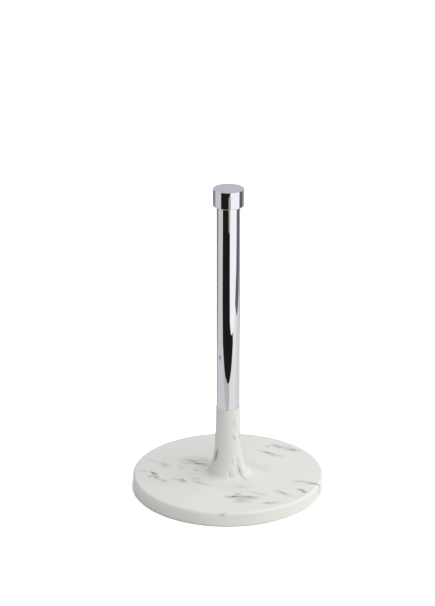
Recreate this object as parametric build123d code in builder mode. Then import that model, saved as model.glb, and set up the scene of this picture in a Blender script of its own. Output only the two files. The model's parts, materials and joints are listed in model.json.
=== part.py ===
from build123d import *

import os
from math import asin, cos, degrees, radians, sin, tan

# Free-standing paper towel holder: a cast resin base with a flared stem, a chromed tube and a screw-on cap,
# drawn together by a tie rod with its nut in the underside. Millimetres, +Z up, and the origin in the middle
# of the underside, on the surface that the holder stands on.

# Cast base: the disc
base_diameter = 184.0
disc_thickness = 13.5
rim_top_radius = 2.6
rim_bottom_radius = 0.6

# Cast base: the stem, its casting draft, and the hollow flare that runs out into the disc
stem_height = 69.0
stem_draft = 1.2
stem_lip = 0.4
stem_lip_radius = 0.4
flare_height = 30.0
flare_radius = 64.0
flare_foot_rounding = 5.0

# Anti-slip pad
pad_thickness = 0.5
pad_inset = 4.0
pad_hole_margin = 0.5

# Post tube
tube_diameter = 22.0
tube_wall = 1.0
tube_length = 213.0
tube_edge_break = 0.2

# Tie rod
rod_diameter = 6.0
rod_end_chamfer = 0.7
rod_hole_clearance = 0.5
rod_protrusion = 1.8
rod_end_cover = 2.5
rod_top_gap = 0.5

# Washer, spring washer and nut on the rod's lower end
washer_band = 5.8
washer_thickness = 1.6
washer_clearance = 0.2
spring_band = 2.5
spring_thickness = 1.6
spring_clearance = 0.1
spring_split_gap = 1.2
spring_split_slant = 25.0
nut_wall = 2.0
nut_height = 5.0
nut_chamfer_angle = 30.0
thread_clearance = 0.05
spanner_room = 4.0

# Bushes inside the stem and the tube
bush_clearance = 0.05
bush_bore_clearance = 0.2
bush_chamfer = 0.6
foot_spigot_wall = 4.3
foot_spigot_length = 12.0
foot_plug_length = 15.0
socket_floor_gap = 0.5
top_bush_length = 12.0
top_bush_gap = 1.5

# Cap, its threaded insert and its grip ring
cap_skirt_depth = 10.6
cap_crown_thickness = 6.0
cap_roof_thickness = 1.5
cap_groove_wall = 1.9
cap_bore_clearance = 0.25
cap_seat_gap = 0.05
cap_top_chamfer = 0.2
cap_bottom_chamfer = 0.5
boss_length = 7.5
boss_wall = 3.0
insert_wall = 1.5
running_clearance = 0.05
ring_section = 1.5
ring_height = 3.0

# Radii that follow from the sizes above
base_radius = base_diameter / 2
tube_radius = tube_diameter / 2
tube_bore_radius = tube_radius - tube_wall
rod_radius = rod_diameter / 2
rod_hole_radius = rod_radius + rod_hole_clearance
washer_bore_radius = rod_radius + washer_clearance
washer_radius = washer_bore_radius + washer_band
spring_bore_radius = rod_radius + spring_clearance
spring_radius = spring_bore_radius + spring_band
nut_bore_radius = rod_radius + thread_clearance
nut_flat_radius = rod_radius + nut_wall
nut_corner_radius = nut_flat_radius / cos(radians(30))
recess_radius = washer_radius + spanner_room
pad_radius = base_radius - pad_inset
pad_hole_radius = recess_radius + pad_hole_margin
stem_top_radius = tube_radius + stem_lip
bush_bore_radius = rod_radius + bush_bore_clearance
bush_plug_radius = tube_bore_radius - bush_clearance
foot_spigot_radius = bush_bore_radius + foot_spigot_wall
socket_radius = foot_spigot_radius + bush_clearance
insert_bore_radius = rod_radius + running_clearance
insert_radius = insert_bore_radius + insert_wall
boss_radius = insert_radius + boss_wall
ring_inner_radius = tube_radius + running_clearance
ring_mid_radius = ring_inner_radius + ring_section / 2
cap_bore_radius = tube_radius + cap_bore_clearance
cap_groove_radius = ring_inner_radius + ring_section + running_clearance
cap_radius = cap_groove_radius + cap_groove_wall

# Levels, from the standing surface upwards
disc_bottom = pad_thickness
disc_top = disc_bottom + disc_thickness
stem_top = disc_top + stem_height
fastener_stack = washer_thickness + spring_thickness + nut_height
recess_depth = fastener_stack + rod_protrusion + rod_end_cover
recess_roof = disc_bottom + recess_depth
spring_top = recess_roof - washer_thickness
nut_top = spring_top - spring_thickness
nut_bottom = nut_top - nut_height
rod_bottom = nut_bottom - rod_protrusion
socket_depth = foot_spigot_length + socket_floor_gap
tube_top = stem_top + tube_length
cap_seat = tube_top + cap_seat_gap
cap_bottom = cap_seat - cap_skirt_depth
cap_top = cap_seat + cap_crown_thickness
boss_bottom = cap_seat - boss_length
insert_top = cap_top - cap_roof_thickness
rod_top = insert_top - rod_top_gap
top_bush_top = boss_bottom - top_bush_gap
ring_level = cap_bottom + ring_height
groove_half_height = ring_section / 2 + running_clearance

# The flare leaves the drafted stem without a kink: its middle lies square to the stem's side
flare_start_level = disc_top + flare_height
flare_start_radius = stem_top_radius + (stem_top - flare_start_level) * tan(radians(stem_draft))
flare_middle_radius = flare_start_radius + flare_radius * cos(radians(stem_draft))
flare_middle_level = flare_start_level + flare_radius * sin(radians(stem_draft))
flare_end_angle = degrees(asin((flare_middle_level - disc_top) / flare_radius))

# Cast base
with BuildPart() as resin_base:
    with BuildSketch(Plane.XZ):
        with BuildLine():
            flare = CenterArc(
                (flare_middle_radius, flare_middle_level),
                flare_radius,
                start_angle=180 + stem_draft,
                arc_size=flare_end_angle - stem_draft,
            )
            Polyline(
                flare @ 1,
                (base_radius, disc_top),
                (base_radius, disc_bottom),
                (0, disc_bottom),
                (0, stem_top),
                (stem_top_radius, stem_top),
                flare @ 0,
            )
        make_face()
    revolve(axis=Axis.Z)
    level_edges = resin_base.edges().filter_by(GeomType.CIRCLE).filter_by(Plane.XY)
    round_edges = level_edges.group_by(SortBy.RADIUS)
    rim_edges = round_edges[-1].sort_by(Axis.Z)
    flare_foot_edges = round_edges[-2]
    fillet(rim_edges[-1], rim_top_radius)
    fillet(rim_edges[0], rim_bottom_radius)
    fillet(flare_foot_edges, flare_foot_rounding)
    fillet(resin_base.faces().sort_by(Axis.Z)[-1].edges(), stem_lip_radius)
    with Locations(Plane((0, 0, disc_bottom), z_dir=(0, 0, -1))):
        CounterBoreHole(rod_hole_radius, recess_radius, recess_depth)
    with Locations((0, 0, stem_top)):
        Hole(socket_radius, socket_depth)
resin_base.part.label = "resin_base"

# Foam ring under the base, open in the middle for a socket spanner
with BuildPart() as anti_slip_pad:
    with BuildSketch():
        Circle(pad_radius)
        Circle(pad_hole_radius, mode=Mode.SUBTRACT)
    extrude(amount=pad_thickness)
anti_slip_pad.part.label = "anti_slip_pad"

# Tie rod, from under the base to the inside of the cap
with BuildPart() as tie_rod:
    with BuildSketch(Plane.XY.offset(rod_bottom)):
        Circle(rod_radius)
    extrude(amount=rod_top - rod_bottom)
    chamfer(tie_rod.edges().filter_by(GeomType.CIRCLE), rod_end_chamfer)
tie_rod.part.label = "tie_rod"

# Large washer against the roof of the recess
with BuildPart() as base_washer:
    with BuildSketch(Plane.XY.offset(spring_top)):
        Circle(washer_radius)
        Circle(washer_bore_radius, mode=Mode.SUBTRACT)
    extrude(amount=washer_thickness)
base_washer.part.label = "base_washer"

# Spring washer, pressed flat, with its slanted split
with BuildPart() as base_spring_washer:
    with BuildSketch(Plane.XY.offset(nut_top)):
        Circle(spring_radius)
        Circle(spring_bore_radius, mode=Mode.SUBTRACT)
    extrude(amount=spring_thickness)
    split_middle = (spring_bore_radius + spring_band / 2, 0, nut_top + spring_thickness / 2)
    with Locations(Location(split_middle, (spring_split_slant, 0, 0))):
        Box(2 * spring_band, spring_split_gap, 4 * spring_thickness, mode=Mode.SUBTRACT)
base_spring_washer.part.label = "base_spring_washer"

# Hexagon nut, its corners turned off at both ends
with BuildPart() as base_nut:
    with BuildSketch(Plane.XY.offset(nut_bottom)):
        RegularPolygon(nut_flat_radius, 6, major_radius=False)
        Circle(nut_bore_radius, mode=Mode.SUBTRACT)
    extrude(amount=nut_height)
    corner_drop = (nut_corner_radius - nut_flat_radius) * tan(radians(nut_chamfer_angle))
    with BuildSketch(Plane.XZ):
        with BuildLine():
            Polyline(
                (0, nut_bottom),
                (nut_flat_radius, nut_bottom),
                (nut_corner_radius, nut_bottom + corner_drop),
                (nut_corner_radius, nut_top - corner_drop),
                (nut_flat_radius, nut_top),
                (0, nut_top),
                close=True,
            )
        make_face()
    revolve(axis=Axis.Z, mode=Mode.INTERSECT)
base_nut.part.label = "base_nut"

# Lower bush: its spigot stands in the stem's socket, its plug centres the tube
with BuildPart() as tube_foot_bush:
    with BuildSketch(Plane.XY.offset(stem_top - foot_spigot_length)):
        Circle(foot_spigot_radius)
    extrude(amount=foot_spigot_length)
    with BuildSketch(Plane.XY.offset(stem_top)):
        Circle(bush_plug_radius)
    extrude(amount=foot_plug_length)
    chamfer(tube_foot_bush.faces().sort_by(Axis.Z)[-1].edges(), bush_chamfer)
    chamfer(tube_foot_bush.faces().sort_by(Axis.Z)[0].edges(), bush_chamfer)
    with Locations((0, 0, stem_top + foot_plug_length)):
        Hole(bush_bore_radius)
tube_foot_bush.part.label = "tube_foot_bush"

# Chromed tube, its end edges broken
with BuildPart() as post_tube:
    with BuildSketch(Plane.XY.offset(stem_top)):
        Circle(tube_radius)
        Circle(tube_bore_radius, mode=Mode.SUBTRACT)
    extrude(amount=tube_length)
    chamfer(post_tube.edges().filter_by(GeomType.CIRCLE).group_by(SortBy.RADIUS)[-1], tube_edge_break)
post_tube.part.label = "post_tube"

# Upper bush, which keeps the rod in the middle of the tube
with BuildPart() as tube_top_bush:
    with BuildSketch(Plane.XY.offset(top_bush_top - top_bush_length)):
        Circle(bush_plug_radius)
    extrude(amount=top_bush_length)
    chamfer(tube_top_bush.edges().filter_by(GeomType.CIRCLE), bush_chamfer)
    with Locations((0, 0, top_bush_top)):
        Hole(bush_bore_radius)
tube_top_bush.part.label = "tube_top_bush"

# Cap: crown, skirt with the ring's groove, and the boss that holds the insert
with BuildPart() as cap:
    with BuildSketch(Plane.XZ):
        with BuildLine():
            Polyline(
                (insert_radius, boss_bottom),
                (boss_radius, boss_bottom),
                (boss_radius, cap_seat),
                (cap_bore_radius, cap_seat),
                (cap_bore_radius, ring_level + groove_half_height),
                (cap_groove_radius, ring_level + groove_half_height),
                (cap_groove_radius, ring_level - groove_half_height),
                (cap_bore_radius, ring_level - groove_half_height),
                (cap_bore_radius, cap_bottom),
                (cap_radius, cap_bottom),
                (cap_radius, cap_top),
                (0, cap_top),
                (0, insert_top),
                (insert_radius, insert_top),
                close=True,
            )
        make_face()
    revolve(axis=Axis.Z)
    cap_edges = cap.edges().filter_by(GeomType.CIRCLE).group_by(SortBy.RADIUS)[-1].sort_by(Axis.Z)
    chamfer(cap_edges[-1], cap_top_chamfer)
    chamfer(cap_edges[0], cap_bottom_chamfer)
cap.part.label = "cap"

# Threaded insert in the cap's boss
with BuildPart() as cap_threaded_insert:
    with BuildSketch(Plane.XY.offset(boss_bottom)):
        Circle(insert_radius)
        Circle(insert_bore_radius, mode=Mode.SUBTRACT)
    extrude(amount=insert_top - boss_bottom)
cap_threaded_insert.part.label = "cap_threaded_insert"

# Grip ring in the skirt's groove, round the tube
with BuildPart() as cap_o_ring:
    with BuildSketch(Plane.XZ):
        with Locations((ring_mid_radius, ring_level)):
            Circle(ring_section / 2)
    revolve(axis=Axis.Z)
cap_o_ring.part.label = "cap_o_ring"

os.makedirs("parts", exist_ok=True)
pieces = [
    resin_base,
    anti_slip_pad,
    tie_rod,
    base_washer,
    base_spring_washer,
    base_nut,
    tube_foot_bush,
    post_tube,
    tube_top_bush,
    cap,
    cap_threaded_insert,
    cap_o_ring,
]
for piece in pieces:
    export_step(piece.part, f"parts/{piece.part.label}.step")
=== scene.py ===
"""A free-standing paper towel holder, dressed over its packed frame.

It has a marble-effect base, a chromed tube and cap, and the rod, nut, washers and pad that hold it
together, and it stands on a plain white table.
"""

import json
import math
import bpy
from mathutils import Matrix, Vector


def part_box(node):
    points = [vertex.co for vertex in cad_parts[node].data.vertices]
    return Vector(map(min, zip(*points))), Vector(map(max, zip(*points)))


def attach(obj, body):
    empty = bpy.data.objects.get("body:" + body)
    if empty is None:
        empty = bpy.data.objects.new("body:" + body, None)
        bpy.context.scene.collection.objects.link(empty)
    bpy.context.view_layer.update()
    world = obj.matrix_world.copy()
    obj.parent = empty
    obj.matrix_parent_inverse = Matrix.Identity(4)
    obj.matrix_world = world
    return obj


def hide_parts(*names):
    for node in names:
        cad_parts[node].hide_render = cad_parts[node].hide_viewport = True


bl_info = {
    "name": "Paper towel holder",
    "version": (1, 0, 0),
    "blender": (4, 5, 0),
    "location": "View3D > Sidebar > Towel holder",
    "description": "Models a paper towel holder around its packed frame and sets its stage",
    "category": "Object",
}

import bpy
from bpy.props import FloatProperty, FloatVectorProperty, IntProperty, PointerProperty
from mathutils import Vector

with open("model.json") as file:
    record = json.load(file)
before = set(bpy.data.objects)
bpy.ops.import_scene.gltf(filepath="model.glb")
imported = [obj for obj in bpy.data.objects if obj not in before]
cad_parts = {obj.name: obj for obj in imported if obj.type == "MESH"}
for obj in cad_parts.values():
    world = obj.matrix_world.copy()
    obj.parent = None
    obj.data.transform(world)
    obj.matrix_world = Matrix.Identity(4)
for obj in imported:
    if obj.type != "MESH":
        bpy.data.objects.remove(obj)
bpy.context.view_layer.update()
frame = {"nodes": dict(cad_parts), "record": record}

MM = 0.001

BASE_LOW, BASE_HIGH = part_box("resin_base")
PAD_LOW, PAD_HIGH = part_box("anti_slip_pad")
TUBE_LOW, TUBE_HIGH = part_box("post_tube")
CAP_LOW, CAP_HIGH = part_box("cap")
ROD_LOW, ROD_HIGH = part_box("tie_rod")
NUT_LOW, NUT_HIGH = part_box("base_nut")
WASHER_LOW, WASHER_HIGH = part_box("base_washer")
SPLIT_LOW, SPLIT_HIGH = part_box("base_spring_washer")
INSERT_LOW, INSERT_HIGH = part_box("cap_threaded_insert")
RING_LOW, RING_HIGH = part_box("cap_o_ring")
MOUNTS = {mount["name"]: mount for mount in frame["record"]["mounts"]}
DISC_TOP = MOUNTS["roll_seat"]["pos_m"][2]

# Closer points than this are one point
MERGE_GAP = 0.003 * MM
# Points and faces are put in order of their distance from here, for the same mesh in each run
SORT_SPOT = (0.617, 0.389, -0.271)
# Edges sharper than this stay sharp under smooth shading, on the nut and on all other pieces
NUT_CREASE = math.radians(20)
CREASE = math.radians(30)


def length(name, description, default):
    return FloatProperty(
        name=name, description=description, default=default, min=0, precision=5, unit="LENGTH"
    )


def angle(name, description, default):
    return FloatProperty(
        name=name, description=description, default=math.radians(default), subtype="ANGLE"
    )


def share(name, description, default):
    return FloatProperty(
        name=name, description=description, default=default, min=0, max=1, subtype="FACTOR"
    )


def level(name, description, default):
    return FloatProperty(name=name, description=description, default=default, min=0)


def count(name, description, default, least):
    return IntProperty(name=name, description=description, default=default, min=least)


def colour(name, description, default):
    return FloatVectorProperty(
        name=name, description=description, default=default, size=3, min=0, max=1, subtype="COLOR"
    )


def spot(name, description, default):
    return FloatVectorProperty(
        name=name, description=description, default=default, size=3, subtype="TRANSLATION"
    )


class MarbleBaseSettings(bpy.types.PropertyGroup):
    """Sizes and colours of the cast base"""

    rim_top_radius: length("Rim top radius", "Rounding of the disc's upper edge", 2.6 * MM)
    rim_bottom_radius: length("Rim bottom radius", "Rounding of the disc's lower edge", 0.6 * MM)
    stem_draft: angle("Stem draft", "Taper of the stem, for the casting mould", 1.2)
    stem_lip: length("Stem lip", "How far the stem's top stands out round the tube", 0.4 * MM)
    stem_lip_radius: length("Stem lip radius", "Rounding of the stem's top edge", 0.4 * MM)
    flare_height: length("Flare height", "Height of the curve from disc to stem", 30 * MM)
    flare_radius: length("Flare radius", "Radius of that hollow curve", 64 * MM)
    flare_foot_rounding: length("Flare foot rounding", "Rounding between it and the disc", 5 * MM)
    recess_radius: length("Recess radius", "Recess for the nut in the underside", 13 * MM)
    rod_hole_radius: length("Rod hole radius", "Hole for the rod through the stem", 3.5 * MM)
    socket_radius: length("Socket radius", "Socket in the stem's top for the bush", 7.55 * MM)
    socket_depth: length("Socket depth", "Depth of that socket", 12.5 * MM)
    body: colour("Body", "White of the resin", (0.825, 0.81, 0.77))
    shade: colour("Shade", "Slightly greyer white of its clouds", (0.80, 0.785, 0.75))
    # Painted shade that darkens the stem against the disc
    painted_stem_shade: colour("Stem tone", "Share of the white that the stem keeps", (0.945, 0.94, 0.93))
    # This grey also paints the shade of the crease, the folds, the knot's lower left and the rim's
    # front
    vein_and_shade: colour("Vein", "Grey of the drawn-in veins", (0.15, 0.15, 0.155))
    steps: count("Steps", "Faces round the base", 256, 32)
    stem_rows: count("Stem rows", "Rows of faces up the stem", 60, 1)


class ChromeSettings(bpy.types.PropertyGroup):
    """Sizes and colour of the chromed tube and cap"""

    tube_wall: length("Tube wall", "Wall thickness of the tube", 1 * MM)
    tube_edge_break: length("Tube edge break", "Chamfer of the tube's end edges", 0.2 * MM)
    cap_top_chamfer: length("Cap top chamfer", "Chamfer round the cap's top", 0.2 * MM)
    cap_bottom_chamfer: length("Cap bottom chamfer", "Chamfer round the cap's skirt", 0.5 * MM)
    cap_skirt: length("Cap skirt", "Depth of the skirt over the tube", 10.6 * MM)
    cap_bore_clearance: length("Cap bore clearance", "Gap between skirt and tube", 0.25 * MM)
    cap_boss_wall: length("Cap boss wall", "Wall of the boss round the threaded insert", 3 * MM)
    groove_clearance: length("Groove clearance", "Gap round the ring in its groove", 0.05 * MM)
    edge_softness: length("Edge softness", "Rounding of the cap's edges", 0.06 * MM)
    plate: colour("Plate", "Colour of the chrome", (0.72, 0.72, 0.735))
    plate_edge: share("Plate edge", "Brightness of the chrome where it is seen at a slant", 0.80)
    steps: count("Steps", "Faces round the tube and the cap", 192, 32)


class FastenerSettings(bpy.types.PropertyGroup):
    """Sizes and colour of the rod, the nut and the washers"""

    pitch: length("Pitch", "Rise of the rod's thread in one turn", 1 * MM)
    thread_depth: length("Thread depth", "Depth of the rod's thread", 0.6 * MM)
    crest_clearance: length("Crest clearance", "Room between crests and solid rod", 0.03 * MM)
    rod_end_chamfer: length("Rod end chamfer", "Chamfer at both ends of the rod", 0.7 * MM)
    nut_bore_radius: length("Nut bore radius", "Bore of the nut", 3.02 * MM)
    nut_countersink: length("Nut countersink", "Chamfer at both ends of the nut's bore", 0.4 * MM)
    nut_chamfer: angle("Nut chamfer", "Slope of the turned corners of the nut", 30)
    washer_bore_radius: length("Washer bore radius", "Bore of the large washer", 3.2 * MM)
    split_bore_radius: length("Split washer bore radius", "Bore of the spring washer", 3.1 * MM)
    split_gap: length("Split gap", "Gap in the spring washer", 1.2 * MM)
    split_slant: angle("Split slant", "Slant of that gap", 25)
    edge_softness: length("Edge softness", "Rounding of the washers' edges", 0.15 * MM)
    zinc: colour("Zinc", "Colour of the zinc plating", (0.60, 0.61, 0.64))
    steps: count("Steps", "Faces round each fastener", 48, 12)
    thread_steps: count("Thread steps", "Faces in one turn of the thread", 24, 8)


class InnerPartSettings(bpy.types.PropertyGroup):
    """Sizes and colours of the pad, the bushes, the insert and the grip ring"""

    pad_hole_radius: length("Pad hole radius", "Opening of the pad under the nut", 13.5 * MM)
    pad_edge_radius: length("Pad edge radius", "Rounding of the pad's cut edges", 0.1 * MM)
    foam: colour("Foam", "Colour of the pad", (0.055, 0.055, 0.06))
    nylon: colour("Nylon", "Colour of the bushes", (0.80, 0.78, 0.72))
    brass: colour("Brass", "Colour of the threaded insert", (0.78, 0.58, 0.28))
    rubber: colour("Rubber", "Colour of the grip ring", (0.025, 0.025, 0.026))


class StageSettings(bpy.types.PropertyGroup):
    """Camera, lights and table"""

    camera_place: spot("Camera place", "Where the camera stands", (0, -1.9956, 0.9494))
    camera_tilt: angle("Camera tilt", "How far the camera looks down", 20.867)
    camera_turn: angle("Camera turn", "How far the camera turns to its left", 0.2922)
    lens: FloatProperty(
        name="Lens", description="Focal length of the camera", default=134.68, unit="CAMERA"
    )
    table_size: length("Table size", "Width of the white table", 12)
    table_drop: length("Table drop", "Gap that keeps the table clear of the pad", 0.1 * MM)
    table: colour("Table", "Colour of the table", (0.81, 0.80, 0.78))
    table_lift: level("Table lift", "White added where the camera sees the table", 0.7)
    lift_start: length("Lift start", "Distance from the post where it sets in", 90.4 * MM)
    lift_full: length("Lift full", "Distance from the post where it is whole", 92.8 * MM)
    shadow_side: spot("Shadow side", "Shift of it, away from the lamp", (-1.3 * MM, 0, 0))
    mirrored_lift: level("Mirrored lift", "White added where chrome mirrors the table", 0.2)
    sky: level("Sky", "Strength of the even light all round", 0.5)
    sky_tint: colour("Sky tint", "Colour of the even light", (0.95, 0.98, 1.0))
    mirrored_sky: colour("Mirrored sky", "Colour of it in the chrome", (0.75, 0.75, 0.84))
    lamp_power: FloatProperty(
        name="Lamp power", description="Power of the soft lamp", default=13.1, unit="POWER"
    )
    lamp_size: length("Lamp size", "Width of the soft lamp", 1.8)
    lamp_distance: length("Lamp distance", "Distance from the base to the lamp", 1.1)
    lamp_height: angle("Lamp height", "Height of the lamp above the table", 48)
    lamp_bearing: angle("Lamp bearing", "Turn of the lamp from the right to the front", 21)


def add_new(operator, name, **options):
    """Adds an object with nothing else selected, and names it."""
    bpy.ops.object.select_all(action="DESELECT")
    operator(**options)
    added = bpy.context.object
    added.name = added.data.name = name
    return added


def start_mesh(name):
    """Begins a new piece as a single point in the origin, in edit mode."""
    piece = add_new(bpy.ops.mesh.primitive_plane_add, name, size=MM)
    bpy.ops.object.mode_set(mode="EDIT")
    bpy.ops.mesh.merge(type="CENTER")
    return piece


def draw_outline(points):
    """Moves the single point to the outline's start and extrudes it along the other points."""
    here = Vector((0, 0))
    for number, point in enumerate(points):
        radius, height = Vector(point) - here
        step = (radius, 0, height)
        if number == 0:
            bpy.ops.transform.translate(value=step)
        else:
            bpy.ops.mesh.extrude_vertices_move(TRANSFORM_OT_translate={"value": step})
        here = Vector(point)
    bpy.ops.mesh.select_all(action="SELECT")


def close_seams():
    """Merges points that lie on each other, turns all faces outwards and puts them in order."""
    bpy.ops.mesh.select_all(action="SELECT")
    bpy.ops.mesh.remove_doubles(threshold=MERGE_GAP)
    bpy.ops.mesh.normals_make_consistent(inside=False)
    cursor = bpy.context.scene.cursor
    cursor.location = SORT_SPOT
    bpy.ops.mesh.sort_elements(type="CURSOR_DISTANCE", elements={"VERT", "EDGE", "FACE"})
    cursor.location = (0, 0, 0)


def turn_solid(name, outline, steps):
    """Spins an outline of (radius, height) points about the post's axis.

    The outline ends where it starts, or else it starts and ends on the axis.
    """
    piece = start_mesh(name)
    draw_outline(outline)
    bpy.ops.mesh.remove_doubles(threshold=MERGE_GAP)
    bpy.ops.mesh.spin(steps=steps, angle=math.tau, center=(0, 0, 0), axis=(0, 0, 1))
    close_seams()
    bpy.ops.object.mode_set(mode="OBJECT")
    return piece


def closed(outline):
    """The outline, brought back to its start."""
    return [*outline, outline[0]]


def arc(centre, radius, start, end, steps):
    """Points on a circle about a (radius, height) centre, from one angle to another in degrees."""
    turns = [math.radians(start + (end - start) * step / steps) for step in range(steps + 1)]
    across, up = centre
    return [(across + radius * math.cos(turn), up + radius * math.sin(turn)) for turn in turns]


def make_only_selected(piece):
    """Selects a piece and nothing else, and makes it the active one."""
    bpy.ops.object.select_all(action="DESELECT")
    piece.select_set(True)
    bpy.context.view_layer.objects.active = piece


def apply_modifier(piece, kind, **options):
    """Adds one modifier with its options and applies it."""
    modifier = piece.modifiers.new(kind.lower(), kind)
    for option, value in options.items():
        setattr(modifier, option, value)
    make_only_selected(piece)
    bpy.ops.object.modifier_apply(modifier=modifier.name)


def soften_edges(piece, width):
    """Rounds a piece's sharp edges."""
    apply_modifier(
        piece, "BEVEL", width=width, segments=2, limit_method="ANGLE", angle_limit=CREASE,
        use_clamp_overlap=True,
    )


def smooth_faces(piece, crease=CREASE):
    """Shades a piece smooth, except for its creases."""
    make_only_selected(piece)
    bpy.ops.object.shade_smooth_by_angle(angle=crease)


def smooth_turning(piece):
    """Shades a turned piece smooth by its larger faces, so that its flats look flat."""
    smooth_faces(piece)
    apply_modifier(piece, "WEIGHTED_NORMAL", keep_sharp=True)


def cut_with(piece, tool, operation):
    """Keeps or removes what lies in the tool, deletes the tool and merges slivers at the cut."""
    apply_modifier(piece, "BOOLEAN", operation=operation, object=tool, solver="EXACT")
    bpy.data.objects.remove(tool)
    bpy.ops.object.mode_set(mode="EDIT")
    close_seams()
    bpy.ops.object.mode_set(mode="OBJECT")


def dress(piece, material):
    """Gives a piece or a frame node its one material."""
    piece.data.materials.clear()
    piece.data.materials.append(material)


def finish_piece(piece, material, body, slot, *nodes):
    """Gives a piece its material and body, and hides the frame nodes that it stands for. The slot
    is not used.
    """
    dress(piece, material)
    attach(piece, body)
    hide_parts(*nodes)


FLOAT = "NodeSocketFloat"
VECTOR = "NodeSocketVector"
# Sockets of a Mix node that mixes colours
MIX_SHARE, MIX_FIRST, MIX_SECOND, MIX_RESULT = 0, 6, 7, 2


def connect(tree, node, inputs):
    """Gives a node's inputs their values or links."""
    for socket, value in inputs.items():
        if isinstance(value, bpy.types.NodeSocket):
            tree.links.new(value, node.inputs[socket])
        else:
            node.inputs[socket].default_value = value


def put(tree, kind, inputs=None, **options):
    """Adds a node, sets its options, and gives its inputs their values or links."""
    node = tree.nodes.new(kind)
    for option, value in options.items():
        setattr(node, option, value)
    connect(tree, node, inputs or {})
    return node


def own_place(tree):
    """Where a point lies on its own piece."""
    return put(tree, "ShaderNodeTexCoord").outputs["Object"]


def noise(tree, place, scale, detail=3.0, roughness=0.5):
    """Clouds of noise, with so many to the metre."""
    return put(tree, "ShaderNodeTexNoise", {
        "Vector": place, "Scale": scale, "Detail": detail, "Roughness": roughness,
    }).outputs


def work_out(tree, operation, *values, **options):
    """The result of a sum on two or three values."""
    inputs = dict(enumerate(values))
    return put(tree, "ShaderNodeMath", inputs, operation=operation, **options).outputs[0]


def remap(tree, value, low, high, to_low=0.0, to_high=1.0):
    """Stretches the values from low to high over another range."""
    return put(tree, "ShaderNodeMapRange", {
        "Value": value, "From Min": low, "From Max": high, "To Min": to_low, "To Max": to_high,
    }).outputs["Result"]


def mix_colours(tree, amount, first, second, blend="MIX"):
    """One colour laid over another by some amount."""
    inputs = {MIX_SHARE: amount, MIX_FIRST: first, MIX_SECOND: second}
    mixed = put(tree, "ShaderNodeMix", inputs, data_type="RGBA", blend_type=blend)
    return mixed.outputs[MIX_RESULT]


def roughen(tree, height, strength, depth):
    """A surface that is bumped by some height."""
    return put(tree, "ShaderNodeBump", {
        "Strength": strength, "Distance": depth, "Height": height,
    }).outputs["Normal"]


def opaque(colour_value):
    """A colour with its alpha."""
    return (*colour_value, 1.0)


def empty_tree(owner):
    """The cleared nodes of a material or a world."""
    owner.use_nodes = True
    owner.node_tree.nodes.clear()
    return owner.node_tree


def start_material(name, constants=None):
    """A material with one main shader, whose constant inputs are set straight away."""
    material = bpy.data.materials.new(name)
    tree = empty_tree(material)
    shader = put(tree, "ShaderNodeBsdfPrincipled", constants)
    put(tree, "ShaderNodeOutputMaterial", {"Surface": shader.outputs["BSDF"]})
    return material, tree, shader


def start_group(name, output, *inputs):
    """An effect that materials share: one named output, and named inputs with usual values."""
    tree = bpy.data.node_groups.new(name, "ShaderNodeTree")
    for socket, kind, usual in inputs:
        made = tree.interface.new_socket(socket, in_out="INPUT", socket_type=kind)
        made.default_value = usual
    tree.interface.new_socket(output, in_out="OUTPUT", socket_type=FLOAT)
    given = put(tree, "NodeGroupInput").outputs
    return tree, given, put(tree, "NodeGroupOutput").inputs[output]


def build_drift(name):
    """Slow change over a surface, between two values."""
    tree, given, result = start_group(
        name, "Value", ("Scale", FLOAT, 40.0), ("Low", FLOAT, 0.0), ("High", FLOAT, 1.0)
    )
    cloud = noise(tree, own_place(tree), given["Scale"], detail=4.0, roughness=0.55)["Fac"]
    # Most of the noise lies between these two values
    spread = remap(tree, cloud, 0.3, 0.7, given["Low"], given["High"])
    tree.links.new(spread, result)
    return tree


def build_grain(name):
    """Fine lines along one direction of the piece, or an even grain where the stretch is 1."""
    tree, given, result = start_group(
        name, "Value", ("Scale", FLOAT, 900.0), ("Turn", VECTOR, (0.0, 0.0, 0.0)),
        ("Stretch", VECTOR, (1.0, 1.0, 1.0)),
    )
    turned = put(tree, "ShaderNodeMapping", {
        "Vector": own_place(tree), "Rotation": given["Turn"], "Scale": given["Stretch"],
    }).outputs["Vector"]
    tree.links.new(noise(tree, turned, given["Scale"], roughness=0.6)["Fac"], result)
    return tree


def build_streak(name):
    """A spindle-shaped streak, darkest in its middle, that fades to nothing at its reach."""
    tree, given, result = start_group(
        name, "Mask", ("Point", VECTOR, (0.0, 0.0, 0.0)), ("Middle", VECTOR, (0.0, 0.0, 0.0)),
        ("Turn", VECTOR, (0.0, 0.0, 0.0)), ("Reach", VECTOR, (0.01, 0.002, 0.002)),
        ("Strength", FLOAT, 0.5),
    )
    inside = put(tree, "ShaderNodeMapping", {
        "Vector": given["Point"], "Location": given["Middle"], "Rotation": given["Turn"],
        "Scale": given["Reach"],
    }, vector_type="TEXTURE").outputs["Vector"]
    ball = put(tree, "ShaderNodeTexGradient", {"Vector": inside}, gradient_type="SPHERICAL")
    tree.links.new(work_out(tree, "MULTIPLY", ball.outputs["Fac"], given["Strength"]), result)
    return tree


EFFECTS = {"drift": build_drift, "grain": build_grain, "streak": build_streak}


def effect(tree, name, **inputs):
    """Places a shared effect, which is built for the first material that uses it."""
    group = bpy.data.node_groups.get(name) or EFFECTS[name](name)
    return put(tree, "ShaderNodeGroup", inputs, node_tree=group).outputs[0]


# How far a streak reaches along itself, as a share of its drawn length, and to its sides, as a
# share of its width
STREAK_TAIL = 0.75
STREAK_SIDE = 0.55
# Darkness in the middle of a streak, as a share of its strength
STREAK_DEPTH = 1.2
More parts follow.
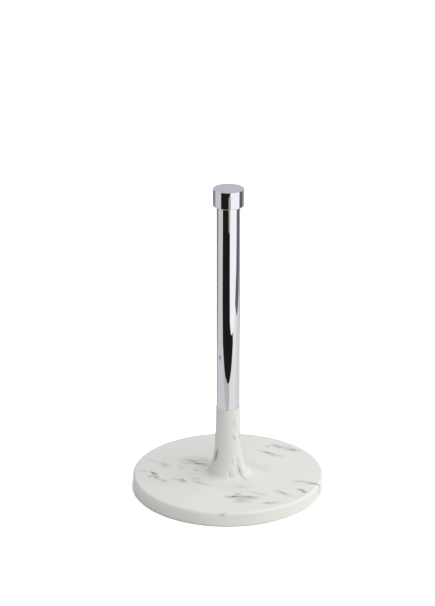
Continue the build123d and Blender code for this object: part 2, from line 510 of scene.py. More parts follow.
# Veins of the base, each drawn as a stroke: start, end and width in millimetres, and strength. A
# point without a height lies on the disc.
VEINS = (
    # The cluster to the left of the stem
    ((-47, 33), (-13, 17), 20, 0.15),
    ((-42, 28), (-20, 13), 9, 0.38),
    ((-27, 30), (-18, 20), 9, 0.20),
    ((-37, 20), (-23, 14), 7, 0.30),
    ((-31, 12), (-24, 6), 6, 0.14),
    ((-35, 5), (-30, 1), 6, 0.26),
    ((-48, 27), (-38, 13), 8, 0.22),
    ((-49, 13), (-43, 6), 8, 0.16),
    # The left side of the disc
    ((-82, 33), (-68, 19), 6, 0.20),
    ((-66, 22), (-57, 7), 9, 0.20),
    ((-88, 1), (-77, -1), 5, 0.32),
    ((-75, 1), (-69, -9), 5, 0.95),
    ((-78, -13), (-72, -10), 7, 0.40),
    ((-71, -10), (-67, -18), 7, 0.45),
    ((-64, -18), (-58, -26), 6, 0.28),
    ((-54, -18), (-49, -18), 5, 0.20),
    ((-48, -17), (-40, -25), 7, 0.45),
    ((-36, -15), (-26, -18), 6, 0.22),
    ((-34, -21), (-18, -31), 7, 0.26),
    # The right side, behind and in front of the stem
    ((43, 63), (54, 55), 6, 0.50),
    ((53, 57), (69, 48), 12, 0.32),
    ((61, 53), (67, 50), 7, 0.40),
    ((37, 59), (42, 58), 5, 0.38),
    ((28, 52), (38, 44), 6, 0.26),
    ((36, 46), (46, 38), 6, 0.60),
    ((45, 39), (55, 33), 7, 0.22),
    ((14, 21), (42, 4), 24, 0.13),
    ((61, -24), (70, -21), 7, 0.20),
    ((68, -21), (86, -29), 7, 0.36),
    ((80, -26), (87, -29), 5, 0.30),
    ((87, -29, 13), (88, -29, 5), 5, 0.45),
    ((67, -39), (75, -48), 6, 0.75),
    ((44, -43), (54, -49), 6, 0.55),
    ((52, -48), (63, -57), 6, 0.25),
    ((32, -71), (48, -68), 7, 0.38),
    # The dark smear in front of the stem, and the front of the rim
    ((-3, -57), (12, -55), 8, 0.45),
    ((10, -56), (30, -59), 10, 0.40),
    ((6, -64), (22, -66), 11, 0.34),
    ((21, -45), (35, -53), 8, 0.22),
    ((-8, -92, 12), (-2, -92, 13), 5, 0.42),
    # The back of the stem and of the rim
    ((-6, 12, 40), (-9, 17, 22), 6, 0.45),
    ((-70, 60, 13), (-66, 64, 5), 6, 0.45),
)
# Marks and painted shade, drawn in the same way but without the sway and the hatching of the veins
MARKS_AND_SHADE = (
    # Painted shade in the crease at the front of the foot, to its left and below it, along the foot
    # and on the disc in front of the stem
    ((9, -10, 32.5), (10.3, -12.1, 23.5), 3, 0.40),
    ((9.7, -11.7, 26.5), (12, -13, 19), 3.4, 0.56),
    ((11.2, -12.2, 22), (14.2, -14.9, 15.2), 4, 0.50),
    ((12.8, -13.9, 17), (18.4, -18.5), 5, 0.40),
    ((8.4, -12.6, 26), (12, -15.2, 17), 5, 0.16),
    ((0, -19.2, 16.2), (12, -17.2, 15), 8, 0.07),
    ((9.5, -11, 22), (16, -15.5, 14.5), 11, 0.13),
    ((-8, -32), (24, -36), 34, 0.07),
    # Painted shade in two short folds beside it
    ((4.4, -12.4, 33.6), (4.1, -14.2, 27), 3, 0.18),
    ((1.3, -17.2, 20.5), (2.6, -19, 16.2), 2.6, 0.28),
    # The knot's dark outline, partly painted shade on its lower left, and the marks above it
    ((5.3, -10.7, 59), (5.3, -10.8, 54), 1.8, 0.25),
    ((5.2, -10.9, 55), (7.6, -9.4, 52.6), 2.4, 0.45),
    ((11.2, -4.2, 56.5), (11.2, -4.8, 51), 3, 0.45),
    ((5.7, -10.1, 74.5), (5.7, -10.2, 66.5), 3.2, 0.16),
    ((7.2, -9.2, 69.5), (7.3, -9.4, 59.5), 1.6, 0.20),
    # The darkest streaks of the smear in front of the stem
    ((3, -55.4), (9.5, -55), 5, 0.50),
    ((6.5, -50.5), (12.5, -49.5), 5, 0.34),
    ((13, -56), (22, -56), 4.5, 0.22),
    ((8, -61), (16, -60), 4.5, 0.22),
    ((3, -68), (14, -66), 6, 0.12),
    ((5, -35.5), (19, -34.5), 7, 0.14),
    # Painted shade on the front of the rim
    ((-48, -78, 5), (-14, -91, 5), 16, 0.05),
    # The dark mark on the left of the stem
    ((-9.8, -7.5, 41.5), (-11.1, -7.3, 33.5), 4, 0.58),
    ((-10.9, -7.3, 35.5), (-12.6, -7.1, 28.5), 4, 0.66),
)
# The veins sway off their drawn lines by this much, with so many bends to the metre
SWAY = 5 * MM
SWAY_SCALE = 120.0
# The hatching of the veins: lines to the metre, how they run over the disc and how far they are
# drawn out, the values of its noise at the faintest and the darkest lines, and their strengths
HATCH_SCALE = 260.0
HATCH_TURN = (0.0, 0.0, math.radians(30))
HATCH_STRETCH = (0.22, 1.0, 1.0)
HATCH_VALUES = (0.36, 0.64)
HATCH_STRENGTHS = (0.3, 1.5)
# Clouds in the resin, the drift of its polish and its grain, to the metre
CLOUD_SCALE = 26.0
RESIN_POLISH_SCALE = 60.0
RESIN_GRAIN_SCALE = 700.0


def on_base(point):
    """A drawn point in metres."""
    across, away, *height = point
    return Vector((across, away, *(height or [DISC_TOP / MM]))) * MM


def add_streaks(tree, place, streaks):
    """Adds up the masks of some drawn streaks."""
    total = 0.0
    for start, end, width, strength in streaks:
        run = on_base(end) - on_base(start)
        side = STREAK_SIDE * width * MM
        mask = effect(
            tree, "streak", Point=place, Middle=on_base(start) + run / 2,
            Turn=run.to_track_quat("X", "Z").to_euler(),
            Reach=(STREAK_TAIL * run.length, side, side), Strength=STREAK_DEPTH * strength,
        )
        total = work_out(tree, "ADD", total, mask)
    return total


def marble_resin(settings):
    """Satin white resin with grey veins of fine hatching, and faint clouds between them; marks and
    a darker stem add painted shade.
    """
    material, tree, shader = start_material("marble_resin", {"Specular IOR Level": 0.25})
    place = own_place(tree)
    bends = noise(tree, place, SWAY_SCALE)["Color"]
    centred = put(
        tree, "ShaderNodeVectorMath", {0: bends, 1: (0.5, 0.5, 0.5)}, operation="SUBTRACT"
    ).outputs[0]
    swayed = put(
        tree, "ShaderNodeVectorMath", {0: centred, 1: (SWAY, SWAY, SWAY), 2: place},
        operation="MULTIPLY_ADD",
    ).outputs[0]
    veins = add_streaks(tree, swayed, VEINS)
    hatch = effect(tree, "grain", Scale=HATCH_SCALE, Turn=HATCH_TURN, Stretch=HATCH_STRETCH)
    lines = remap(tree, hatch, *HATCH_VALUES, *HATCH_STRENGTHS)
    # These marks include painted shade in the crease and folds of the stem's foot, at the knot and
    # on the rim's front
    marks_and_shade = add_streaks(tree, place, MARKS_AND_SHADE)
    streaks = work_out(tree, "MULTIPLY_ADD", veins, lines, marks_and_shade, use_clamp=True)
    cloud = effect(tree, "drift", Scale=CLOUD_SCALE)
    body = mix_colours(tree, cloud, opaque(settings.body), opaque(settings.shade))
    # Painted shade: the stem is darker than the disc, fading in over the height of the flare's foot
    # rounding
    height = put(tree, "ShaderNodeSeparateXYZ", {"Vector": place}).outputs["Z"]
    on_stem = remap(tree, height, DISC_TOP, DISC_TOP + settings.flare_foot_rounding)
    shaded_body = mix_colours(tree, on_stem, body, opaque(settings.painted_stem_shade), "MULTIPLY")
    grain = effect(tree, "grain", Scale=RESIN_GRAIN_SCALE)
    connect(tree, shader, {
        "Base Color": mix_colours(tree, streaks, shaded_body, opaque(settings.vein_and_shade)),
        "Roughness": effect(tree, "drift", Scale=RESIN_POLISH_SCALE, Low=0.42, High=0.54),
        "Normal": roughen(tree, grain, strength=0.05, depth=0.1 * MM),
    })
    return material


# The share of its colour that a metal keeps where it is duller, and its working lines to the metre
METAL_DULLER = 0.94
METAL_LINE_SCALE = 900.0
# How much paler moulded material is in places, and the drift of its colour and polish, to the metre
MOULDED_PALER = 1.12
MOULDED_LIFT = 0.004
MOULDED_TONE_SCALE = 55.0
MOULDED_POLISH_SCALE = 80.0


def plated_metal(name, tint, polish, scale, stretch, grain, edge=1.0):
    """A plated metal whose polish changes slowly and which has fine lines from its working."""
    material, tree, shader = start_material(name, {
        "Metallic": 1.0, "Specular Tint": (edge, edge, edge, 1.0),
    })
    tone = noise(tree, own_place(tree), scale)["Fac"]
    duller = [METAL_DULLER * channel for channel in tint]
    lines = effect(tree, "grain", Scale=METAL_LINE_SCALE, Stretch=stretch)
    connect(tree, shader, {
        "Base Color": mix_colours(tree, tone, opaque(tint), opaque(duller)),
        "Roughness": effect(tree, "drift", Scale=scale, Low=polish[0], High=polish[1]),
        "Normal": roughen(tree, lines, strength=grain, depth=0.02 * MM),
    })
    return material


def moulded_material(name, tint, polish, scale, grain):
    """A moulded plastic, rubber or foam with a grain of its own."""
    material, tree, shader = start_material(name)
    tone = effect(tree, "drift", Scale=MOULDED_TONE_SCALE)
    paler = [min(1.0, MOULDED_PALER * channel + MOULDED_LIFT) for channel in tint]
    cells = effect(tree, "grain", Scale=scale)
    connect(tree, shader, {
        "Base Color": mix_colours(tree, tone, opaque(tint), opaque(paler)),
        "Roughness": effect(
            tree, "drift", Scale=MOULDED_POLISH_SCALE, Low=polish[0], High=polish[1]
        ),
        "Normal": roughen(tree, cells, strength=grain, depth=0.1 * MM),
    })
    return material


def chrome_plate(settings):
    """The chrome of the tube and the cap."""
    return bpy.data.materials.get("chrome_plate") or plated_metal(
        "chrome_plate", settings.plate, polish=(0.01, 0.03), scale=18.0,
        stretch=(1.0, 1.0, 0.1), grain=0.004, edge=settings.plate_edge,
    )


def zinc_plate(settings):
    """The zinc of the rod, the nut and the washers."""
    return bpy.data.materials.get("zinc_plate") or plated_metal(
        "zinc_plate", settings.zinc, polish=(0.28, 0.46), scale=220.0,
        stretch=(1.0, 1.0, 1.0), grain=0.25,
    )


# Faces along each rounding of the base's half section
RIM_BOTTOM_FACES, RIM_TOP_FACES, FLARE_FOOT_FACES, FLARE_FACES, LIP_FACES = 6, 10, 8, 32, 5


def base_outline(settings):
    """Half section of the cast base, with its recess, rod hole and socket."""
    foot, top, rim = BASE_LOW.z, BASE_HIGH.z, BASE_HIGH.x
    slope = math.tan(settings.stem_draft)
    stem_radius = TUBE_HIGH.x + settings.stem_lip
    bend, foot_bend = settings.flare_radius, settings.flare_foot_rounding
    flare_level = DISC_TOP + settings.flare_height
    flare_middle = (
        stem_radius + (top - flare_level) * slope + bend * math.cos(settings.stem_draft),
        flare_level + bend * math.sin(settings.stem_draft),
    )
    drop = flare_middle[1] - DISC_TOP - foot_bend
    foot_reach = math.sqrt((bend - foot_bend) ** 2 - drop ** 2)
    foot_middle = (flare_middle[0] - foot_reach, DISC_TOP + foot_bend)
    touch = 180 + math.degrees(math.atan2(drop, foot_reach))
    low, high = settings.rim_bottom_radius, settings.rim_top_radius
    lip = settings.stem_lip_radius
    lip_middle = stem_radius + lip * slope - lip * math.sqrt(1 + slope * slope)
    draft = math.degrees(settings.stem_draft)
    roof, socket_floor = WASHER_HIGH.z, top - settings.socket_depth
    stem_run = (top - lip - flare_level) / settings.stem_rows
    stem_levels = [flare_level + row * stem_run for row in range(1, settings.stem_rows)]
    stem_side = [(stem_radius + (top - level) * slope, level) for level in stem_levels]
    return closed([
        (settings.rod_hole_radius, roof),
        (settings.recess_radius, roof),
        (settings.recess_radius, foot),
        *arc((rim - low, foot + low), low, -90, 0, RIM_BOTTOM_FACES),
        *arc((rim - high, DISC_TOP - high), high, 0, 90, RIM_TOP_FACES),
        *arc(foot_middle, foot_bend, 270, touch, FLARE_FOOT_FACES),
        *arc(flare_middle, bend, touch, 180 + draft, FLARE_FACES),
        *stem_side,
        *arc((lip_middle, top - lip), lip, draft, 90, LIP_FACES),
        (settings.socket_radius, top),
        (settings.socket_radius, socket_floor),
        (settings.rod_hole_radius, socket_floor),
    ])


def cap_outline(settings):
    """Half section of the cap: crown, skirt with the ring's groove, and boss for the insert."""
    radius, foot, top = CAP_HIGH.x, CAP_LOW.z, CAP_HIGH.z
    bore = TUBE_HIGH.x + settings.cap_bore_clearance
    seat = foot + settings.cap_skirt
    groove = RING_HIGH.x + settings.groove_clearance
    groove_low = RING_LOW.z - settings.groove_clearance
    groove_high = RING_HIGH.z + settings.groove_clearance
    boss = INSERT_HIGH.x + settings.cap_boss_wall
    upper, lower = settings.cap_top_chamfer, settings.cap_bottom_chamfer
    return [
        (0, top),
        (radius - upper, top),
        (radius, top - upper),
        (radius, foot + lower),
        (radius - lower, foot),
        (bore, foot),
        (bore, groove_low),
        (groove, groove_low),
        (groove, groove_high),
        (bore, groove_high),
        (bore, seat),
        (boss, seat),
        (boss, INSERT_LOW.z),
        (INSERT_HIGH.x, INSERT_LOW.z),
        (INSERT_HIGH.x, INSERT_HIGH.z),
        (0, INSERT_HIGH.z),
    ]


# The stem is cast like a tree's root, with lines that are pressed into it or drawn out of it: the
# points of each, its push and the distance over which the push fades, in millimetres
ROOT_LINES = (
    # The crease at the front of the foot, and the ridge to its right
    (
        ((9, -10.2, 31), (9.9, -11.8, 25), (11.5, -12.6, 21), (13, -14.2, 17), (18, -18, 14)),
        (-0.5, 0.7, 0.0), 2.2,
    ),
    (((11.8, -6, 34), (14, -7, 25), (16.5, -8.2, 18), (19.5, -10.8, 14.2)), (0.2, -0.2, 0.1), 4),
    # A short fold to its left
    (((1.3, -17.2, 20.5), (2.6, -19, 16.2)), (0.0, 0.5, 0.0), 2.2),
    # The knot
    (((7, -9.7, 56.2), (7, -9.7, 55.8)), (0.3, -0.4, 0.0), 2.0),
    # The bulge on the left side
    (((-12, -3, 50), (-12.5, -3, 40), (-13.6, -3, 32)), (-0.5, 0.0, 0.0), 12),
)
# Points of the base this close to a line belong to it
LINE_REACH = 1.1 * MM


def gap_to_stretch(point, start, end):
    """Distance from a point to a straight stretch between two others."""
    run = end - start
    part = max(0.0, min(1.0, (point - start).dot(run) / run.length_squared))
    return (point - start - part * run).length


def press_line(piece, points, push, reach):
    """Pushes the part of a piece that lies along some points, and what is near it by less."""
    chain = [Vector(point) * MM for point in points]
    stretches = list(zip(chain, chain[1:]))
    bpy.ops.object.mode_set(mode="EDIT")
    bpy.ops.mesh.select_mode(type="VERT")
    bpy.ops.mesh.select_all(action="DESELECT")
    bpy.ops.object.mode_set(mode="OBJECT")
    for vertex in piece.data.vertices:
        gap = min(gap_to_stretch(vertex.co, *stretch) for stretch in stretches)
        vertex.select = gap < LINE_REACH
    bpy.ops.object.mode_set(mode="EDIT")
    bpy.ops.transform.translate(
        value=Vector(push) * MM, use_proportional_edit=True, proportional_edit_falloff="SMOOTH",
        proportional_size=reach * MM, use_proportional_connected=True,
    )
    bpy.ops.object.mode_set(mode="OBJECT")


class HOLDER_OT_marble_base(bpy.types.Operator):
    """Turns the cast base from its half section, shapes its root and gives it its marble look"""

    bl_idname = "holder.marble_base"
    bl_label = "Marble base"

    def execute(self, context):
        settings = context.scene.holder_base
        piece = turn_solid("marble_base", base_outline(settings), settings.steps)
        for points, push, reach in ROOT_LINES:
            press_line(piece, points, push, reach)
        smooth_turning(piece)
        finish_piece(piece, marble_resin(settings), "stand", "marble_resin", "resin_base")
        return {"FINISHED"}


class HOLDER_OT_chrome_tube(bpy.types.Operator):
    """Turns the tube that carries the roll"""

    bl_idname = "holder.chrome_tube"
    bl_label = "Chrome tube"

    def execute(self, context):
        settings = context.scene.holder_chrome
        radius, foot, top = TUBE_HIGH.x, TUBE_LOW.z, TUBE_HIGH.z
        bore, broken = radius - settings.tube_wall, settings.tube_edge_break
        outline = closed([
            (bore, foot), (radius - broken, foot), (radius, foot + broken),
            (radius, top - broken), (radius - broken, top), (bore, top),
        ])
        piece = turn_solid("chrome_tube", outline, settings.steps)
        smooth_turning(piece)
        finish_piece(piece, chrome_plate(settings), "stand", "chrome", "post_tube")
        return {"FINISHED"}


class HOLDER_OT_chrome_cap(bpy.types.Operator):
    """Turns the cap with its skirt, groove and boss"""

    bl_idname = "holder.chrome_cap"
    bl_label = "Chrome cap"

    def execute(self, context):
        settings = context.scene.holder_chrome
        piece = turn_solid("chrome_cap", cap_outline(settings), settings.steps)
        soften_edges(piece, settings.edge_softness)
        smooth_turning(piece)
        finish_piece(piece, chrome_plate(settings), "cap", "chrome", "cap")
        return {"FINISHED"}


# Where the thread's root ends and where its crest begins and ends, as shares of one pitch
ROOT_END, CREST_START, CREST_END = 0.22, 0.55, 0.67
# Turns of the thread past each end of the rod, which are cut off
SPARE_TURNS = 2


def thread_outline(settings):
    """One pitch of the rod's thread: root, flank, crest and flank."""
    crest = ROD_HIGH.x - settings.crest_clearance
    root = crest - settings.thread_depth
    corners = ((root, 0), (root, ROOT_END), (crest, CREST_START), (crest, CREST_END), (root, 1))
    return [(radius, part * settings.pitch) for radius, part in corners]


def cut_flat(height, keep_above):
    """Cuts the mesh in edit mode level and closes the cut."""
    bpy.ops.mesh.select_all(action="SELECT")
    bpy.ops.mesh.bisect(
        plane_co=(0, 0, height), plane_no=(0, 0, 1), use_fill=True,
        clear_inner=keep_above, clear_outer=not keep_above, threshold=MERGE_GAP,
    )


class HOLDER_OT_threaded_rod(bpy.types.Operator):
    """Winds the tie rod's thread and chamfers its ends"""

    bl_idname = "holder.threaded_rod"
    bl_label = "Threaded rod"

    def execute(self, context):
        settings = context.scene.holder_fasteners
        pitch, foot, top = settings.pitch, ROD_LOW.z, ROD_HIGH.z
        piece = start_mesh("threaded_rod")
        draw_outline(thread_outline(settings))
        bpy.ops.transform.translate(value=(0, 0, foot - SPARE_TURNS * pitch))
        bpy.ops.object.mode_set(mode="OBJECT")
        apply_modifier(
            piece, "SCREW", axis="Z", angle=math.tau, screw_offset=pitch,
            iterations=math.ceil((top - foot) / pitch) + 2 * SPARE_TURNS,
            steps=settings.thread_steps, render_steps=settings.thread_steps,
            use_merge_vertices=True, merge_threshold=MERGE_GAP,
        )
        bpy.ops.object.mode_set(mode="EDIT")
        cut_flat(foot, keep_above=True)
        cut_flat(top, keep_above=False)
        close_seams()
        bpy.ops.object.mode_set(mode="OBJECT")
        cut_with(piece, self.blank(settings), "INTERSECT")
        smooth_faces(piece)
        finish_piece(piece, zinc_plate(settings), "stand", "zinc_steel", "tie_rod")
        return {"FINISHED"}

    def blank(self, settings):
        """The rod before threading, with its chamfers and a little room round the crests."""
        radius, foot, top = ROD_HIGH.x, ROD_LOW.z, ROD_HIGH.z
        bevel = settings.rod_end_chamfer
        return turn_solid("rod_blank", [
            (0, foot), (radius - bevel, foot), (radius, foot + bevel),
            (radius, top - bevel), (radius - bevel, top), (0, top),
        ], settings.steps)


class HOLDER_OT_base_fasteners(bpy.types.Operator):
    """Makes the large washer, the spring washer and the nut in the base's recess"""

    bl_idname = "holder.base_fasteners"
    bl_label = "Nut and washers"

    def execute(self, context):
        settings = context.scene.holder_fasteners
        for make, node in (
            (self.washer, "base_washer"), (self.split_washer, "base_spring_washer"),
            (self.nut, "base_nut"),
        ):
            finish_piece(make(settings), zinc_plate(settings), "stand", "zinc_steel", node)
        return {"FINISHED"}

    def ring(self, name, bore, low, high, settings):
        outline = closed([(bore, low.z), (high.x, low.z), (high.x, high.z), (bore, high.z)])
        piece = turn_solid(name, outline, settings.steps)
        soften_edges(piece, settings.edge_softness)
        return piece

    def washer(self, settings):
        bore = settings.washer_bore_radius
        piece = self.ring("large_washer", bore, WASHER_LOW, WASHER_HIGH, settings)
        smooth_turning(piece)
        return piece

    def split_washer(self, settings):
        bore = settings.split_bore_radius
        piece = self.ring("split_washer", bore, SPLIT_LOW, SPLIT_HIGH, settings)
        band, height = SPLIT_HIGH.x - bore, SPLIT_HIGH.z - SPLIT_LOW.z
        # A slanted block, twice as wide as the band and taller, cuts the gap
        cutter = add_new(
            bpy.ops.mesh.primitive_cube_add, "gap_cutter", size=1,
            location=(bore + band / 2, 0, SPLIT_LOW.z + height / 2),
            rotation=(settings.split_slant, 0, 0), scale=(2 * band, settings.split_gap, 4 * height),
        )
        cut_with(piece, cutter, "DIFFERENCE")
        smooth_faces(piece)
        return piece

    def nut(self, settings):
        foot, top, corner, flat = NUT_LOW.z, NUT_HIGH.z, NUT_HIGH.x, NUT_HIGH.y
        # A quarter turn brings two corners onto the X axis
        piece = add_new(
            bpy.ops.mesh.primitive_cylinder_add, "hex_nut", vertices=6, radius=corner,
            depth=top - foot, location=(0, 0, (foot + top) / 2), rotation=(0, 0, math.tau / 4),
        )
        bpy.ops.object.transform_apply(location=True, rotation=True, scale=True)
        drop = (corner - flat) * math.tan(settings.nut_chamfer)
        turned = turn_solid("nut_turning", [
            (0, foot), (flat, foot), (corner, foot + drop),
            (corner, top - drop), (flat, top), (0, top),
        ], settings.steps)
        cut_with(piece, turned, "INTERSECT")
        bore, sink, past = settings.nut_bore_radius, settings.nut_countersink, MM
        wide = bore + sink + past
        drill = turn_solid("nut_drill", [
            (0, foot - past), (wide, foot - past), (bore, foot + sink),
            (bore, top - sink), (wide, top + past), (0, top + past),
        ], settings.steps)
        cut_with(piece, drill, "DIFFERENCE")
        smooth_faces(piece, NUT_CREASE)
        return piece


# Faces along each rounded edge of the pad
PAD_EDGE_FACES = 4


class HOLDER_OT_foam_ring(bpy.types.Operator):
    """Turns the foam ring under the base"""

    bl_idname = "holder.foam_ring"
    bl_label = "Foam ring"

    def execute(self, context):
        settings = context.scene.holder_inner
        edge = settings.pad_edge_radius
        inner, outer = settings.pad_hole_radius + edge, PAD_HIGH.x - edge
        low, high = PAD_LOW.z + edge, PAD_HIGH.z - edge
        outline = closed([
            *arc((inner, low), edge, 180, 270, PAD_EDGE_FACES),
            *arc((outer, low), edge, -90, 0, PAD_EDGE_FACES),
            *arc((outer, high), edge, 0, 90, PAD_EDGE_FACES),
            *arc((inner, high), edge, 90, 180, PAD_EDGE_FACES),
        ])
        piece = turn_solid("foam_ring", outline, context.scene.holder_base.steps)
        smooth_turning(piece)
        foam = moulded_material(
            "cell_foam", settings.foam, polish=(0.8, 0.95), scale=1600.0, grain=0.9
        )
        finish_piece(piece, foam, "stand", "foam", "anti_slip_pad")
        return {"FINISHED"}


class HOLDER_OT_inner_parts(bpy.types.Operator):
    """Gives the bushes, the threaded insert and the grip ring their materials"""

    bl_idname = "holder.inner_parts"
    bl_label = "Bushes, insert and grip ring"

    def execute(self, context):
        settings = context.scene.holder_inner
        nylon = moulded_material(
            "moulded_nylon", settings.nylon, polish=(0.42, 0.55), scale=700.0, grain=0.2
        )
        brass = plated_metal(
            "turned_brass", settings.brass, polish=(0.22, 0.36), scale=260.0,
            stretch=(0.3, 0.3, 4.0), grain=0.3,
        )
        rubber = moulded_material(
            "nitrile_rubber", settings.rubber, polish=(0.55, 0.7), scale=1100.0, grain=0.3
        )
        dress(frame["nodes"]["tube_foot_bush"], nylon)
        dress(frame["nodes"]["tube_top_bush"], nylon)
        dress(frame["nodes"]["cap_threaded_insert"], brass)
        dress(frame["nodes"]["cap_o_ring"], rubber)
        return {"FINISHED"}


# What the chrome mirrors, laid on the table out of the camera's sight: brightness, and outline in
# millimetres. Later cards lie on top of earlier ones. The table's front edge runs straight across.
# Beyond it the room is dark, with a bright window to its right, and behind the holder is a wall.
REFLECTIONS = (
    ("left_table", (0.79, 0.795, 0.835), (
        (-60, -280), (-60, 300), (-3780, 3150), (-3780, -3040), (-1080, -3040),
    )),
    ("dark_room", (0.015, 0.015, 0.014), (
        (-318, -226), (-100, -262), (97, -273), (290, -266), (620, -3068), (-3000, -3068),
        (-3000, -1985), (-666, -445), (-550, -345), (-439, -268),
    )),
    ("window", (1.25, 1.26, 1.31), (
        (292, -303), (190, -368), (125, -432), (131, -459), (148, -575), (194, -740),
        (490, -2600), (3180, -2600), (3180, 112), (830, 72), (690, 54), (618, 25), (560, -45),
        (503, -130), (469, -178),
    )),
    ("beige_jamb", (0.57, 0.53, 0.455), (
        (45, -765), (236, -745), (264, -846), (257, -915), (22, -915),
    )),
    ("right_table", (0.92, 0.92, 0.94), (
        (200, -60), (470, -60), (470, 330), (60, 330), (60, 120),
    )),
    ("grey_wall", (0.165, 0.165, 0.178), (
        (466, 30), (480, -170), (560, -130), (618, -75), (690, -55), (830, -40), (3180, 10),
        (3270, 2200), (620, 450), (507, 350), (468, 260),
    )),
    ("back_wall", (0.34, 0.34, 0.355), (
        (-134, 149), (-230, 240), (-433, 272), (-657, 316), (-852, 337), (-2842, 1052),
        (-2842, 3150), (0, 3150), (0, 149),
    )),
    ("pale_wall", (0.55, 0.55, 0.57), (
        (0, 330), (478, 330), (620, 450), (3270, 2200), (3270, 3150), (0, 3150),
    )),
    ("table_shade", (0.63, 0.63, 0.63), (
        (-250, -215), (-100, -264), (40, -271), (45, -237), (24, -200), (-91, -185),
    )),
    ("table_speck", (0.31, 0.31, 0.33), (
        (-340, -40), (-340, 25), (-334, 68), (-328, 25), (-328, -40), (-334, -82),
    )),
)
# Each card lies this much above the one before it
CARD_GAP = 0.2 * MM
# Width of the camera's film, in millimetres
FILM_WIDTH = 36


def glow_material(name, shade):
    """A surface that shines evenly in one colour."""
    material = bpy.data.materials.new(name)
    tree = empty_tree(material)
    glow = put(tree, "ShaderNodeEmission", {"Color": opaque(shade)})
    put(tree, "ShaderNodeOutputMaterial", {"Surface": glow.outputs[0]})
    return material


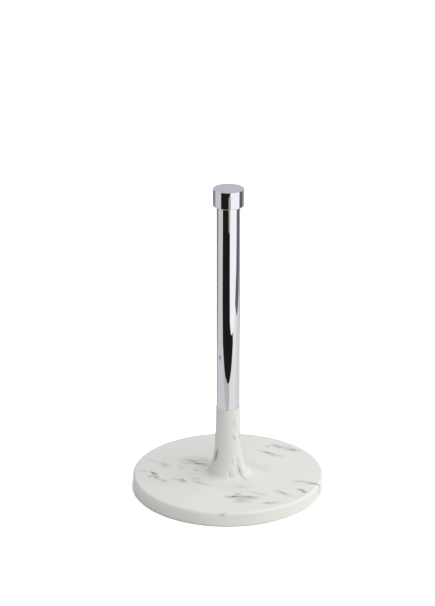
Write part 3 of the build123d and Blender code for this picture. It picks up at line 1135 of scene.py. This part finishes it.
class HOLDER_OT_stage(bpy.types.Operator):
    """Sets the table, what the chrome mirrors, the light and the camera"""

    bl_idname = "holder.stage"
    bl_label = "Stage"

    def execute(self, context):
        settings = context.scene.holder_stage
        self.lay_table(settings)
        for number, (name, shade, points) in enumerate(REFLECTIONS, 1):
            self.lay_reflection(name, shade, points, number * CARD_GAP)
        self.light_room(context, settings)
        self.hang_lamp(settings)
        self.place_camera(context, settings)
        context.scene.view_settings.view_transform = "Standard"
        return {"FINISHED"}

    def lay_table(self, settings):
        """A matt table, whiter to the camera outside the holder's own shade, and to the chrome."""
        table = add_new(
            bpy.ops.mesh.primitive_plane_add, "table", size=settings.table_size,
            location=(0, 0, -settings.table_drop),
        )
        material = bpy.data.materials.new("white_table")
        tree = empty_tree(material)
        path = put(tree, "ShaderNodeLightPath").outputs
        mirrored = work_out(tree, "MULTIPLY", path["Is Glossy Ray"], settings.mirrored_lift)
        reach = put(tree, "ShaderNodeVectorMath", {
            0: own_place(tree), 1: settings.shadow_side,
        }, operation="DISTANCE").outputs["Value"]
        seen = remap(tree, reach, settings.lift_start, settings.lift_full, 0.0, settings.table_lift)
        lift = work_out(tree, "MULTIPLY_ADD", path["Is Camera Ray"], seen, mirrored)
        matt = put(tree, "ShaderNodeBsdfDiffuse", {"Color": opaque(settings.table)})
        glow = put(tree, "ShaderNodeEmission", {"Strength": lift})
        both = put(tree, "ShaderNodeAddShader", {0: matt.outputs[0], 1: glow.outputs[0]})
        put(tree, "ShaderNodeOutputMaterial", {"Surface": both.outputs[0]})
        dress(table, material)

    def lay_reflection(self, name, shade, points, height):
        """A flat shape just over the table, which only mirroring surfaces see."""
        card = add_new(
            bpy.ops.mesh.primitive_circle_add, name, vertices=len(points), fill_type="NGON"
        )
        for vertex, (across, away) in zip(card.data.vertices, points):
            vertex.co = (across * MM, away * MM, height)
        card.visible_camera = card.visible_diffuse = False
        card.visible_shadow = card.visible_transmission = False
        dress(card, glow_material(name, shade))

    def light_room(self, context, settings):
        """Even light all round, which the camera sees as white and the chrome as a cool grey."""
        world = bpy.data.worlds.new("white_room")
        tree = empty_tree(world)
        path = put(tree, "ShaderNodeLightPath").outputs
        even = put(tree, "ShaderNodeBackground", {
            "Color": opaque(settings.sky_tint), "Strength": settings.sky,
        })
        mirrored = put(tree, "ShaderNodeBackground", {"Color": opaque(settings.mirrored_sky)})
        white = put(tree, "ShaderNodeBackground", {"Color": opaque((1.0, 1.0, 1.0))})
        glossy = put(tree, "ShaderNodeMixShader", {
            0: path["Is Glossy Ray"], 1: even.outputs[0], 2: mirrored.outputs[0],
        })
        seen = put(tree, "ShaderNodeMixShader", {
            0: path["Is Camera Ray"], 1: glossy.outputs[0], 2: white.outputs[0],
        })
        put(tree, "ShaderNodeOutputWorld", {"Surface": seen.outputs[0]})
        context.scene.world = world

    def hang_lamp(self, settings):
        """A soft square lamp at the right, aimed at the base, that the chrome doesn't mirror."""
        flat = math.cos(settings.lamp_height)
        aim = Vector((
            flat * math.cos(settings.lamp_bearing), -flat * math.sin(settings.lamp_bearing),
            math.sin(settings.lamp_height),
        ))
        lamp = add_new(
            bpy.ops.object.light_add, "soft_lamp", type="AREA",
            location=aim * settings.lamp_distance, rotation=aim.to_track_quat("Z", "Y").to_euler(),
        )
        lamp.data.energy = settings.lamp_power
        lamp.data.size = settings.lamp_size
        lamp.visible_camera = lamp.visible_glossy = False

    def place_camera(self, context, settings):
        """A camera with a long lens, which looks down at the holder from the front."""
        tilt = math.radians(90) - settings.camera_tilt
        camera = add_new(
            bpy.ops.object.camera_add, "Camera", location=settings.camera_place,
            rotation=(tilt, 0, settings.camera_turn),
        )
        camera.data.lens = settings.lens
        camera.data.sensor_width = FILM_WIDTH
        context.scene.camera = camera


class HOLDER_PT_panel(bpy.types.Panel):
    """Lists the holder's pieces and its stage"""

    bl_label = "Towel holder"
    bl_idname = "HOLDER_PT_panel"
    bl_space_type = "VIEW_3D"
    bl_region_type = "UI"
    bl_category = "Towel holder"

    def draw(self, context):
        for operator in OPERATORS:
            self.layout.operator(operator.bl_idname)
        for name, settings in SETTINGS.items():
            box = self.layout.box()
            box.label(text=settings.__doc__)
            for entry in settings.__annotations__:
                box.prop(getattr(context.scene, name), entry)


SETTINGS = {
    "holder_base": MarbleBaseSettings,
    "holder_chrome": ChromeSettings,
    "holder_fasteners": FastenerSettings,
    "holder_inner": InnerPartSettings,
    "holder_stage": StageSettings,
}
OPERATORS = (
    HOLDER_OT_marble_base,
    HOLDER_OT_chrome_tube,
    HOLDER_OT_chrome_cap,
    HOLDER_OT_threaded_rod,
    HOLDER_OT_base_fasteners,
    HOLDER_OT_foam_ring,
    HOLDER_OT_inner_parts,
    HOLDER_OT_stage,
)


def register():
    for name, settings in SETTINGS.items():
        bpy.utils.register_class(settings)
        setattr(bpy.types.Scene, name, PointerProperty(type=settings))
    for operator in OPERATORS:
        bpy.utils.register_class(operator)
    bpy.utils.register_class(HOLDER_PT_panel)


def unregister():
    bpy.utils.unregister_class(HOLDER_PT_panel)
    for operator in reversed(OPERATORS):
        bpy.utils.unregister_class(operator)
    for name, settings in reversed(SETTINGS.items()):
        delattr(bpy.types.Scene, name)
        bpy.utils.unregister_class(settings)


def main():
    register()
    bpy.ops.holder.marble_base()
    bpy.ops.holder.chrome_tube()
    bpy.ops.holder.chrome_cap()
    bpy.ops.holder.threaded_rod()
    bpy.ops.holder.base_fasteners()
    bpy.ops.holder.foam_ring()
    bpy.ops.holder.inner_parts()
    bpy.ops.holder.stage()


if __name__ == "__main__":
    main()
